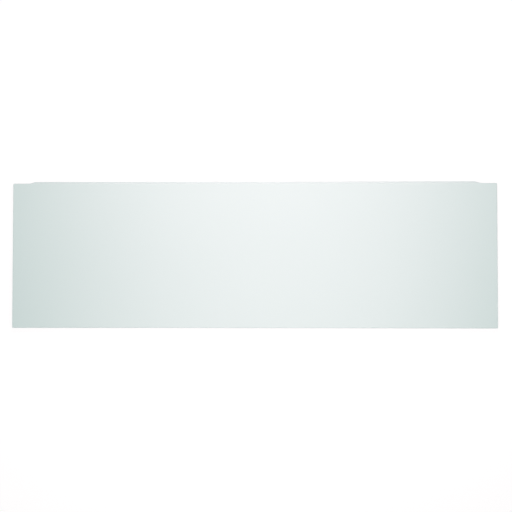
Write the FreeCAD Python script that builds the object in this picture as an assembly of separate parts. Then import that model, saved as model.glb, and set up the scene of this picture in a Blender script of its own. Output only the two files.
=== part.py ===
import FreeCAD
import Part
import math
import os

# Front panel of a straight bath: one acrylic sheet, thermoformed and trimmed, lying face up.
# X runs along the panel, +Y to its top edge and +Z out of its face; the back rim lies in Z = 0.

# Driving dimensions, in millimetres and degrees
panel_length = 1700.0     # over the end returns, at the back rim
panel_height = 510.0      # from the bottom return to the top return, at the back rim
panel_depth = 25.0        # from the back rim to the front face
sheet_thickness = 2.0
draft_angle = 2.0         # lean of the four returns, which lets the sheet off its forming tool
tool_radius = 0.5         # inside radius along the face's edges and at its corners
lip_height = 7.0          # how far the lip stands above the top return
lip_inset = 55.0          # from each end of the panel to the end of the lip
lip_slope_run = 20.0      # length of the sloped cut at each end of the lip
lip_end_land = 0.5        # square end of the lip, between its root radius and the slope
lip_root_radius = 1.0     # hollow radius where the lip turns up from the top return

# Places worked out from them: the origin is the middle of the whole outline
bottom_y = -(panel_height + lip_height) / 2
top_y = bottom_y + panel_height
lip_half_length = panel_length / 2 - lip_inset
lip_end_height = lip_root_radius + lip_end_land
lean = math.radians(draft_angle)
edge_radius = tool_radius + sheet_thickness
same_level = 1e-6         # heights closer than this are one height


def form_corners(inset, z):
    """Corners of the form at height z, with its four leaning sides moved in by inset."""
    shift = z * math.tan(lean) + inset / math.cos(lean)
    x = panel_length / 2 - shift
    low, high = bottom_y + shift, top_y - shift
    return [FreeCAD.Vector(px, py, z) for px, py in [(-x, low), (x, low), (x, high), (-x, high)]]


def flat_side(corners):
    """Flat face with these corners, in order round its edge."""
    return Part.Face(Part.makePolygon(corners + corners[:1]))


def form_block(inset, back):
    """Leaning block from the plane Z = back to the face, rounded everywhere but at the back."""
    face = panel_depth - inset
    below, above = form_corners(inset, back), form_corners(inset, face)
    next_below, next_above = below[1:] + below[:1], above[1:] + above[:1]
    walls = [list(corners) for corners in zip(below, next_below, next_above, above)]
    block = Part.Solid(Part.Shell([flat_side(corners) for corners in [below[::-1], above] + walls]))
    edges = [edge for edge in block.Edges if edge.BoundBox.ZMax > face - edge_radius]
    return block.makeFillet(edge_radius - inset, edges)


def lip_plate(inset, back):
    """Plate that the lip is formed on: long, low and cut to a slope at both ends."""
    end = lip_half_length - inset
    shoulder = lip_half_length - lip_slope_run
    half = [(end, 0.0), (end, top_y + lip_end_height), (shoulder, top_y + lip_height)]
    points = half + [(-x, y) for x, y in reversed(half)] + half[:1]
    outline = Part.makePolygon([FreeCAD.Vector(x, y, back) for x, y in points])
    return Part.Face(outline).extrude(FreeCAD.Vector(0, 0, sheet_thickness - inset - back))


def form(inset, back):
    """Forming shape moved in by inset: block and lip plate in one, with a hollow lip root."""
    joined = form_block(inset, back).fuse(lip_plate(inset, back)).removeSplitter()
    plate_top = sheet_thickness - inset
    level = [edge for edge in joined.Edges if edge.BoundBox.ZLength < same_level
             and abs(edge.BoundBox.Center.z - plate_top) < same_level]
    root = min(level, key=lambda edge: edge.CenterOfMass.y)
    return joined.Solids[0].makeFillet(lip_root_radius + inset, [root])


def bath_panel():
    """The sheet: its outer form less the same form moved in by the sheet's thickness."""
    sheet = form(0.0, 0.0).cut(form(sheet_thickness, -sheet_thickness))
    return sheet.removeSplitter()


os.makedirs("parts", exist_ok=True)
bath_panel().exportStep("parts/bath_panel.step")
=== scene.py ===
import bpy
import math
import mathutils
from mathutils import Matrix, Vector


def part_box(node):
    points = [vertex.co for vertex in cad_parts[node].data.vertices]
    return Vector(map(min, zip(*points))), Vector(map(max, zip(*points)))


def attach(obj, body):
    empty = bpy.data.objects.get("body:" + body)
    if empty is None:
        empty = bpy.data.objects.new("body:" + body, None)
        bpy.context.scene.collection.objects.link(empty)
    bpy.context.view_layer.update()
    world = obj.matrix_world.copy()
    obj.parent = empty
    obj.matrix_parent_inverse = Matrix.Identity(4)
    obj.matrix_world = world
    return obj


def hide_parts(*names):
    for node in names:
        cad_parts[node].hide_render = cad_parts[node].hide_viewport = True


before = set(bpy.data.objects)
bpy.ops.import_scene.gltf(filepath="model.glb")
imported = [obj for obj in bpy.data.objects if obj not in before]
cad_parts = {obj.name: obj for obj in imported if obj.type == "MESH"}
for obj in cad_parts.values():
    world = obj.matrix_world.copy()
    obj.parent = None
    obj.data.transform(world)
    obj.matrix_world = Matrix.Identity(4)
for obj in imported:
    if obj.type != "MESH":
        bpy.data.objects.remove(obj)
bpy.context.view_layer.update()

# White acrylic bath panel, lying face up on a pale floor and seen from straight above.
# Lengths are in metres and angles in radians.
# X runs along the panel, +Y to its top edge and +Z out of its face.

# Sizes of the formed sheet
sheet_thickness = 0.002
draft_angle = math.radians(2.0)     # lean of the four returns
tool_radius = 0.0005                # inside radius along the face's edges and at its corners
edge_radius = tool_radius + sheet_thickness
lip_height = 0.007                  # how far the lip stands above the top return
lip_inset = 0.055                   # from each end of the panel to the end of the lip
lip_slope_run = 0.020               # length of the sloped cut at each end of the lip
lip_root_radius = 0.001             # hollow radius where the lip turns up from the top return
lip_end_land = 0.0005               # end of the lip between its root radius and the slope
lip_end_height = lip_root_radius + lip_end_land
lip_end_ramp = 0.001                # length over which that end runs out
edge_break = 0.0004                 # narrow flat scraped along the cut edges

# Sizes of the whole panel, from the frame
low_corner, high_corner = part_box("bath_panel")
panel_length = high_corner.x - low_corner.x
panel_height = high_corner.y - low_corner.y - lip_height
panel_depth = high_corner.z - low_corner.z

# How finely the sheet is divided
edge_turns = 6                      # mesh steps over half of a rounded edge
root_turns = 5                      # mesh steps round the root of the lip
flat_margin = 0.003                 # strip beside a rounded edge that keeps the flat's shading flat
crease_angle = math.radians(40.0)   # edges sharper than this show as creases
same_place = 1e-6                   # points closer than this are one point
yes_above = 0.5                     # a share above this counts as a yes

# Gloss of the acrylic
acrylic_ior = 1.49                  # how strongly it bends light

# Camera, fitted to the four corners of the face in the photograph
camera_place = (0.1158, -0.1689, 4.2522)
camera_turn = (math.radians(2.2152), math.radians(1.4695), math.radians(0.0458))
camera_lens = 85.0                  # millimetres

# Light: white from the sides, cooler overhead, and a long soft box beyond each long edge of the panel
horizon_light = (0.65, 0.65, 0.65)
overhead_light = (0.134, 0.352, 0.306)
soft_box_size = (1.6, 0.5)
soft_box_tint = (1.0, 0.81, 0.84)
top_box_place = (0.047, 0.65, 1.05)
top_box_power = 10.0                # watts
low_box_place = (0.047, -0.5, 0.7)
low_box_power = 2.95                # watts

# Floor
floor_half_width = 30.0
floor_colour = 0.8                  # grey that the floor lights the panel with
floor_shade = 0.3                   # grey that it takes the panel's shadow with, where it is seen
far_floor = 0.945                   # brightness that it is seen with where no lamp reaches it
# The sky lights a level floor with a third of its horizon light and two thirds of its overhead light
sky_on_floor = [(low + 2 * high) / 3 for low, high in zip(horizon_light, overhead_light)]
# Glow of the floor's own that makes up the rest of that brightness
floor_glow = [far_floor - floor_shade * light for light in sky_on_floor]


def wire(target, source):
    """Feeds a socket from another socket or amount, or sets it to a plain value."""
    if isinstance(source, Amount):
        source = source.socket
    if isinstance(source, bpy.types.NodeSocket):
        target.id_data.links.new(source, target)
    else:
        target.default_value = source


def add_node(tree, kind, inputs=None, **settings):
    """New node with its settings made and its inputs, given by name or number, fed."""
    node = tree.nodes.new(kind)
    for name, value in settings.items():
        setattr(node, name, value)
    for name, source in (inputs or {}).items():
        wire(node.inputs[name], source)
    return node


class Amount:
    """A number inside a node tree, which takes part in sums as a plain number does."""

    def __init__(self, socket):
        self.socket = socket

    def __add__(self, other):
        return reckon("ADD", self, other)

    def __sub__(self, other):
        return reckon("SUBTRACT", self, other)

    def __mul__(self, other):
        return reckon("MULTIPLY", self, other)

    def __truediv__(self, other):
        return reckon("DIVIDE", self, other)

    def __radd__(self, other):
        return reckon("ADD", other, self)

    def __rsub__(self, other):
        return reckon("SUBTRACT", other, self)

    def __rmul__(self, other):
        return reckon("MULTIPLY", other, self)


def reckon(operation, first, second=0.0):
    """One sum in the tree that the amounts belong to."""
    known = first if isinstance(first, Amount) else second
    node = add_node(known.socket.id_data, "ShaderNodeMath", {0: first, 1: second}, operation=operation)
    return Amount(node.outputs["Value"])


def smaller(first, second):
    """The smaller of two amounts."""
    return reckon("MINIMUM", first, second)


def larger(first, second):
    """The larger of two amounts."""
    return reckon("MAXIMUM", first, second)


def between_0_and_1(amount):
    """The amount, held between 0 and 1."""
    return smaller(larger(amount, 0.0), 1.0)


def vector(tree, x, y, z):
    """Vector with these three parts."""
    return add_node(tree, "ShaderNodeCombineXYZ", {"X": x, "Y": y, "Z": z}).outputs["Vector"]


def split(tree, source):
    """The three parts of a vector, as amounts."""
    node = add_node(tree, "ShaderNodeSeparateXYZ", {"Vector": source})
    return [Amount(node.outputs[axis]) for axis in "XYZ"]


def pick(step, choices):
    """The choice with this number, counted from 0."""
    node = add_node(step.socket.id_data, "GeometryNodeIndexSwitch", data_type="FLOAT")
    while len(node.index_switch_items) < len(choices):
        node.index_switch_items.new()
    wire(node.inputs["Index"], step)
    for number, choice in enumerate(choices):
        wire(node.inputs[str(number)], choice)
    return Amount(node.outputs["Output"])


panel_sizes = {
    "Length": panel_length,
    "Height": panel_height,
    "Depth": panel_depth,
    "Sheet Thickness": sheet_thickness,
    "Edge Radius": edge_radius,
    "Draft Angle": draft_angle,
    "Lip Height": lip_height,
    "Lip Inset": lip_inset,
    "Lip Slope Run": lip_slope_run,
    "Lip End Height": lip_end_height,
    "Lip End Ramp": lip_end_ramp,
    "Lip Root Radius": lip_root_radius,
    "Edge Break": edge_break,
}


class FormedSheet:
    """Geometry tree that forms the sheet: a block of mesh lines, pulled to the outer and inner skins."""

    def __init__(self, sizes, face_finish, back_finish, trim_finish):
        self.tree = bpy.data.node_groups.new("formed_sheet", "GeometryNodeTree")
        self.tree.interface.new_socket("Geometry", in_out="OUTPUT", socket_type="NodeSocketGeometry")
        self.identifiers = {}
        self.size = self.add_inputs(sizes)
        self.work_out_places()
        self.lay_mesh_lines()
        self.number_points()
        self.round_edges()
        self.turn_lip()
        self.join_skins()
        self.lay_finishes(face_finish, back_finish, trim_finish)

    def add_inputs(self, sizes):
        """Named inputs for the sizes: returns their amounts, and keeps what a modifier sets them by."""
        for name, value in sizes.items():
            socket = self.tree.interface.new_socket(name, in_out="INPUT", socket_type="NodeSocketFloat")
            socket.default_value = value
            self.identifiers[name] = socket.identifier
        entry = self.tree.nodes.new("NodeGroupInput")
        return {name: Amount(entry.outputs[name]) for name in sizes}

    def work_out_places(self):
        """Places that follow from the sizes, counted from the panel's middle and from its back."""
        size = self.size
        self.lean = reckon("TANGENT", size["Draft Angle"])
        self.turn_level = size["Depth"] - size["Edge Radius"]
        taper = self.turn_level * self.lean
        self.flat_x = size["Length"] * 0.5 - taper - size["Edge Radius"]
        self.flat_y = size["Height"] * 0.5 - taper - size["Edge Radius"]
        self.lip_end = size["Length"] * 0.5 - size["Lip Inset"]
        self.ramp_top = self.lip_end - size["Lip End Ramp"]
        self.shoulder = self.lip_end - size["Lip Slope Run"]
        self.bend_top = size["Sheet Thickness"] + size["Lip Root Radius"]

    def lay_mesh_lines(self):
        """Mesh lines on the flats: columns along the panel, rows up it and levels out of it."""
        sheet = self.size["Sheet Thickness"]
        root = self.size["Lip Root Radius"]
        scrape = self.size["Edge Break"]
        root_angles = [math.pi / 2 * (1 - step / root_turns) for step in range(root_turns + 1)]
        root_levels = [sheet + root * (1 - math.sin(angle)) for angle in root_angles]
        tip_levels = [0.0, scrape, sheet - scrape, sheet]
        self.root_start = len(tip_levels)
        self.columns = [0.0, self.shoulder, self.ramp_top, self.lip_end, self.flat_x - flat_margin]
        self.rows = [0.0, self.flat_y - flat_margin]
        self.levels = tip_levels + root_levels + [self.turn_level - flat_margin]
        self.half_columns = len(self.columns) + edge_turns
        self.half_rows = len(self.rows) + edge_turns
        self.all_levels = len(self.levels) + edge_turns

    def line_place(self, step, flats, flat_end):
        """Place of a mesh line: those on the flat come first, then even turns of the rounded edge."""
        turn = (step - len(flats)) * (math.pi / 4 / edge_turns)
        rounded = flat_end + self.size["Edge Radius"] * reckon("TANGENT", turn)
        return pick(smaller(step, len(flats)), flats + [rounded])

    def number_points(self):
        """Column, row and level of each point of a block from -1 to 1, and its place from them."""
        place = add_node(self.tree, "GeometryNodeInputPosition").outputs["Position"]
        across, up, out = split(self.tree, place)
        column = reckon("ROUND", reckon("ABSOLUTE", across) * self.half_columns)
        row = reckon("ROUND", reckon("ABSOLUTE", up) * self.half_rows)
        self.level = reckon("ROUND", (out + 1.0) * 0.5 * self.all_levels)
        self.side_x = reckon("SIGN", across)
        self.side_y = reckon("SIGN", up)
        self.x = self.line_place(column, self.columns, self.flat_x)
        self.y = self.line_place(row, self.rows, self.flat_y)
        self.z = self.line_place(self.level, self.levels, self.turn_level)

    def at_level(self, number):
        """1 at this level and 0 at every other."""
        return 1 - smaller(reckon("ABSOLUTE", self.level - number), 1.0)

    def round_edges(self):
        """Way that each point stands off the flat core: square to a flat, turning round an edge."""
        over_x = larger(self.x - self.flat_x, 0.0)
        over_y = larger(self.y - self.flat_y, 0.0)
        over_z = larger(self.z - self.turn_level, 0.0)
        over = vector(self.tree, over_x, over_y, over_z)
        way = add_node(self.tree, "ShaderNodeVectorMath", {0: over}, operation="NORMALIZE")
        self.way_x, self.way_y, self.way_z = split(self.tree, way.outputs["Vector"])

    def turn_lip(self):
        """Where the lip is, how far it has turned at each level and how far its cut edge stands out."""
        size = self.size
        sheet, root = size["Sheet Thickness"], size["Lip Root Radius"]
        top_side = reckon("GREATER_THAN", self.way_y * self.side_y, yes_above)
        ramp = between_0_and_1((self.lip_end - self.x) / size["Lip End Ramp"])
        slope = between_0_and_1((self.ramp_top - self.x) / (self.ramp_top - self.shoulder))
        cut = size["Lip End Height"] * ramp + (size["Lip Height"] - size["Lip End Height"]) * slope
        bend = between_0_and_1((self.root_start + root_turns - self.level) / root_turns) * (math.pi / 2)
        turned = 1 - reckon("COSINE", bend)
        reach = root * turned + larger(self.root_start - self.level, 0.0) * size["Lip Height"]
        tip_scrape = size["Edge Break"] * (self.at_level(0) + self.at_level(self.root_start - 1))
        self.lip = top_side * ramp
        self.outer_lip = self.lip * smaller(reach, cut + self.lean * self.bend_top - tip_scrape)
        self.inner_lip = self.lip * (root + sheet) * turned
        self.lip_sink = self.lip * sheet * reckon("SINE", bend)
        lean_start = larger(self.z, self.lip * self.bend_top)
        self.lean_out = self.lean * larger(self.turn_level - lean_start, 0.0)

    def skin(self, depth, lip_out, sink):
        """Places of the skin that lies this deep in the sheet."""
        radius = self.size["Edge Radius"] - depth
        stand = radius + self.lean_out
        x = self.side_x * (smaller(self.x, self.flat_x) + self.way_x * stand)
        y = self.side_y * (smaller(self.y, self.flat_y) + self.way_y * stand) + lip_out
        z = larger(smaller(self.z, self.turn_level) + self.way_z * radius - sink, 0.0)
        return vector(self.tree, x, y - self.size["Lip Height"] * 0.5, z)

    def open_block(self):
        """Block with all the mesh lines, from -1 to 1 each way and open at the back."""
        counts = {
            "Vertices X": 2 * self.half_columns + 1,
            "Vertices Y": 2 * self.half_rows + 1,
            "Vertices Z": self.all_levels + 1,
        }
        block = add_node(self.tree, "GeometryNodeMeshCube", {"Size": (2.0, 2.0, 2.0), **counts})
        normal = add_node(self.tree, "GeometryNodeInputNormal").outputs["Normal"]
        facing_out = split(self.tree, normal)[2]
        is_back = reckon("LESS_THAN", facing_out, -yes_above)
        opened = add_node(self.tree, "GeometryNodeDeleteGeometry",
                          {"Geometry": block.outputs["Mesh"], "Selection": is_back}, domain="FACE")
        return opened.outputs["Geometry"]

    def keep_places(self):
        """The open block, on which each point keeps its two places, share in the lip and level."""
        rim_scrape = self.size["Edge Break"] * self.at_level(0) * (1 - self.lip)
        outer = self.skin(rim_scrape, self.outer_lip, 0.0)
        inner = self.skin(self.size["Sheet Thickness"] - rim_scrape, self.inner_lip, self.lip_sink)
        node = add_node(self.tree, "GeometryNodeCaptureAttribute", {"Geometry": self.open_block()})
        for kind, name, source in [("VECTOR", "Outer", outer), ("VECTOR", "Inner", inner),
                                   ("FLOAT", "Lip", self.lip), ("FLOAT", "Level", self.level)]:
            node.capture_items.new(kind, name)
            wire(node.inputs[name], source)
        return node.outputs

    def join_skins(self):
        """Front skin, and a back skin turned over, joined along the back rim."""
        tree = self.tree
        kept = self.keep_places()
        front = add_node(tree, "GeometryNodeSetPosition",
                         {"Geometry": kept["Geometry"], "Position": kept["Outer"]})
        shell = add_node(tree, "GeometryNodeExtrudeMesh",
                         {"Mesh": kept["Geometry"], "Offset Scale": 0.0, "Individual": False},
                         mode="FACES")
        sunk = add_node(tree, "GeometryNodeSwitch",
                        {"Switch": shell.outputs["Top"], "False": kept["Outer"], "True": kept["Inner"]},
                        input_type="VECTOR")
        back = add_node(tree, "GeometryNodeSetPosition",
                        {"Geometry": shell.outputs["Mesh"], "Position": sunk.outputs["Output"]})
        turned_over = add_node(tree, "GeometryNodeFlipFaces", {"Mesh": back.outputs["Geometry"]})
        both = add_node(tree, "GeometryNodeJoinGeometry", {"Geometry": front.outputs["Geometry"]})
        wire(both.inputs["Geometry"], turned_over.outputs["Mesh"])
        merged = add_node(tree, "GeometryNodeMergeByDistance",
                          {"Geometry": both.outputs["Geometry"], "Distance": same_place})
        self.whole = merged.outputs["Geometry"]
        self.inside = Amount(shell.outputs["Top"])
        self.rim = Amount(shell.outputs["Side"])
        self.kept_lip = Amount(kept["Lip"])
        self.kept_level = Amount(kept["Level"])

    def lay_finishes(self, face_finish, back_finish, trim_finish):
        """Face finish all over, then the back and the lip's underside, then the cut rim and lip tip."""
        on_lip = reckon("GREATER_THAN", self.kept_lip, yes_above)
        at_rim = reckon("LESS_THAN", self.kept_level, 1.0)
        at_tip = reckon("LESS_THAN", self.kept_level, self.root_start - 1)
        backs = larger(self.inside, self.rim * on_lip)
        lip_tip = at_tip * on_lip * (1 - self.rim) * (1 - self.inside)
        cut_edges = larger(at_rim * (1 - on_lip), lip_tip)
        last = add_node(self.tree, "GeometryNodeRealizeInstances", {"Geometry": self.whole})
        for finish, where in [(face_finish, True), (back_finish, backs), (trim_finish, cut_edges)]:
            inputs = {"Geometry": last.outputs["Geometry"], "Selection": where, "Material": finish}
            last = add_node(self.tree, "GeometryNodeSetMaterial", inputs)
        add_node(self.tree, "NodeGroupOutput", {"Geometry": last.outputs["Geometry"]})


def drop_empty_slots(mesh):
    """Takes away the material slots that hold no finish, and keeps each face's finish."""
    empty = [number for number, finish in enumerate(mesh.materials) if finish is None]
    for number in reversed(empty):
        mesh.materials.pop(index=number)


def plain_mesh(name, tree, identifiers, sizes):
    """Object with the plain mesh that the tree makes with these sizes."""
    maker = bpy.data.objects.new(name + "_maker", bpy.data.meshes.new(name + "_maker"))
    bpy.context.scene.collection.objects.link(maker)
    modifier = maker.modifiers.new("form", "NODES")
    modifier.node_group = tree
    for size_name, identifier in identifiers.items():
        modifier[identifier] = sizes[size_name]
    made = maker.evaluated_get(bpy.context.evaluated_depsgraph_get())
    mesh = bpy.data.meshes.new_from_object(made)
    mesh.name = name
    mesh.shade_smooth()
    mesh.set_sharp_from_angle(angle=crease_angle)
    drop_empty_slots(mesh)
    bpy.data.objects.remove(maker)
    piece = bpy.data.objects.new(name, mesh)
    bpy.context.scene.collection.objects.link(piece)
    return piece


def new_material(name):
    """New material: returns it, its node tree and its principled shader."""
    material = bpy.data.materials.new(name)
    material.use_nodes = True
    tree = material.node_tree
    return material, tree, tree.nodes["Principled BSDF"]


def own_place(tree):
    """Place on the piece, in its own coordinates."""
    return tree.nodes.new("ShaderNodeTexCoord").outputs["Object"]


def cloudy(tree, per_metre):
    """Cloudy pattern with about this many clouds in a metre."""
    node = add_node(tree, "ShaderNodeTexNoise", {"Vector": own_place(tree), "Scale": per_metre})
    return node.outputs["Fac"]


def cutter_marks(tree):
    """Fine uneven marks, slanting across the cut."""
    unevenness = {"Distortion": 5.0, "Detail": 3.0, "Detail Scale": 2.0}
    marks = {"Vector": own_place(tree), "Scale": 900.0, **unevenness}
    return add_node(tree, "ShaderNodeTexWave", marks, bands_direction="DIAGONAL").outputs["Fac"]


def spread(tree, pattern, low, high):
    """The pattern as an amount from low to high."""
    node = add_node(tree, "ShaderNodeMapRange", {"Value": pattern, "To Min": low, "To Max": high})
    return node.outputs["Result"]


def two_tones(tree, pattern, low, high):
    """The pattern as a colour from low to high."""
    node = add_node(tree, "ShaderNodeValToRGB", {"Fac": pattern})
    first, last = node.color_ramp.elements
    first.color = (*low, 1.0)
    last.color = (*high, 1.0)
    return node.outputs["Color"]


def relief(tree, pattern, depth):
    """Surface that the pattern raises by up to this depth."""
    return add_node(tree, "ShaderNodeBump", {"Height": pattern, "Distance": depth}).outputs["Normal"]


def acrylic_face():
    """Gloss face of the sheet: a hardly cloudy white, with the faint ripple that forming leaves."""
    material, tree, shader = new_material("acrylic_face")
    clouds = cloudy(tree, per_metre=3.0)
    white = two_tones(tree, clouds, low=(0.862, 0.893, 0.898), high=(0.878, 0.907, 0.912))
    wire(shader.inputs["Base Color"], white)
    wire(shader.inputs["Roughness"], spread(tree, cloudy(tree, per_metre=9.0), low=0.10, high=0.16))
    wire(shader.inputs["Normal"], relief(tree, cloudy(tree, per_metre=60.0), depth=0.00001))
    wire(shader.inputs["IOR"], acrylic_ior)
    return material


def acrylic_back():
    """Back of the sheet: duller than the face and finely pebbled."""
    material, tree, shader = new_material("acrylic_back")
    clouds = cloudy(tree, per_metre=6.0)
    white = two_tones(tree, clouds, low=(0.79, 0.81, 0.815), high=(0.83, 0.85, 0.855))
    wire(shader.inputs["Base Color"], white)
    wire(shader.inputs["Roughness"], spread(tree, cloudy(tree, per_metre=30.0), low=0.45, high=0.6))
    wire(shader.inputs["Normal"], relief(tree, cloudy(tree, per_metre=600.0), depth=0.0001))
    wire(shader.inputs["IOR"], acrylic_ior)
    return material


def trimmed_edge():
    """Cut edge of the sheet: dull, with the fine marks that the cutter leaves across it."""
    material, tree, shader = new_material("trimmed_edge")
    marks = cutter_marks(tree)
    white = two_tones(tree, marks, low=(0.82, 0.845, 0.85), high=(0.86, 0.885, 0.89))
    wire(shader.inputs["Base Color"], white)
    wire(shader.inputs["Roughness"], spread(tree, cloudy(tree, per_metre=200.0), low=0.4, high=0.55))
    wire(shader.inputs["Normal"], relief(tree, marks, depth=0.00002))
    wire(shader.inputs["IOR"], acrylic_ior)
    return material


def add_panel():
    """The panel, in place of its plain solid."""
    sheet = FormedSheet(panel_sizes, acrylic_face(), acrylic_back(), trimmed_edge())
    panel = plain_mesh("formed_panel", sheet.tree, sheet.identifiers, panel_sizes)
    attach(panel, "root")
    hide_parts("bath_panel")


def seen_directly(tree):
    """1 for rays from the camera, a gloss surface or a clear one, and 0 for those that light things."""
    path = tree.nodes.new("ShaderNodeLightPath").outputs
    glossy = larger(Amount(path["Is Camera Ray"]), Amount(path["Is Glossy Ray"]))
    return larger(glossy, Amount(path["Is Transmission Ray"]))


def pale_floor():
    """Plain pale floor that keeps the panel's shadow, and glows up to white where it is seen."""
    material = bpy.data.materials.new("pale_floor")
    material.use_nodes = True
    tree = material.node_tree
    tree.nodes.clear()
    seen = seen_directly(tree)
    grey = floor_colour - seen * (floor_colour - floor_shade)
    lit = add_node(tree, "ShaderNodeBsdfDiffuse", {"Color": grey})
    glow = add_node(tree, "ShaderNodeEmission", {"Color": (*floor_glow, 1.0), "Strength": seen})
    both = add_node(tree, "ShaderNodeAddShader", {0: lit.outputs["BSDF"], 1: glow.outputs["Emission"]})
    add_node(tree, "ShaderNodeOutputMaterial", {"Surface": both.outputs["Shader"]})
    return material


def add_floor():
    """Wide level floor under the panel."""
    mesh = bpy.data.meshes.new("floor")
    reach = floor_half_width
    corners = [(-reach, -reach, 0.0), (reach, -reach, 0.0), (reach, reach, 0.0), (-reach, reach, 0.0)]
    mesh.from_pydata(corners, [], [(0, 1, 2, 3)])
    mesh.materials.append(pale_floor())
    floor = bpy.data.objects.new("floor", mesh)
    bpy.context.scene.collection.objects.link(floor)


def add_world():
    """Even light from all round, cooler overhead, and plain white where it is seen."""
    world = bpy.data.worlds.new("studio")
    bpy.context.scene.world = world
    world.use_nodes = True
    tree = world.node_tree
    tree.nodes.clear()
    height = split(tree, tree.nodes.new("ShaderNodeTexCoord").outputs["Generated"])[2]
    sky = two_tones(tree, height, low=horizon_light, high=overhead_light)
    light = add_node(tree, "ShaderNodeBackground", {"Color": sky})
    white = add_node(tree, "ShaderNodeBackground", {"Color": (1.0, 1.0, 1.0, 1.0)})
    shaders = {1: light.outputs["Background"], 2: white.outputs["Background"]}
    mixed = add_node(tree, "ShaderNodeMixShader", {"Fac": seen_directly(tree), **shaders})
    add_node(tree, "ShaderNodeOutputWorld", {"Surface": mixed.outputs["Shader"]})


def add_soft_box(name, place, power):
    """Long lamp that faces the middle of the panel and doesn't show in its gloss."""
    lamp = bpy.data.lights.new(name, "AREA")
    lamp.shape = "RECTANGLE"
    lamp.size, lamp.size_y = soft_box_size
    lamp.energy = power
    lamp.color = soft_box_tint
    box = bpy.data.objects.new(name, lamp)
    box.location = place
    box.rotation_euler = mathutils.Vector(place).to_track_quat("Z", "Y").to_euler()
    box.visible_camera = False
    box.visible_glossy = False
    bpy.context.scene.collection.objects.link(box)


def add_camera():
    """Camera that looks down on the panel as the photograph does."""
    lens = bpy.data.cameras.new("camera")
    lens.lens = camera_lens
    camera = bpy.data.objects.new("camera", lens)
    camera.location = camera_place
    camera.rotation_euler = camera_turn
    bpy.context.scene.collection.objects.link(camera)
    bpy.context.scene.camera = camera


add_panel()
add_floor()
add_world()
add_soft_box("top_box", top_box_place, top_box_power)
add_soft_box("low_box", low_box_place, low_box_power)
add_camera()
bpy.context.scene.view_settings.view_transform = "Standard"
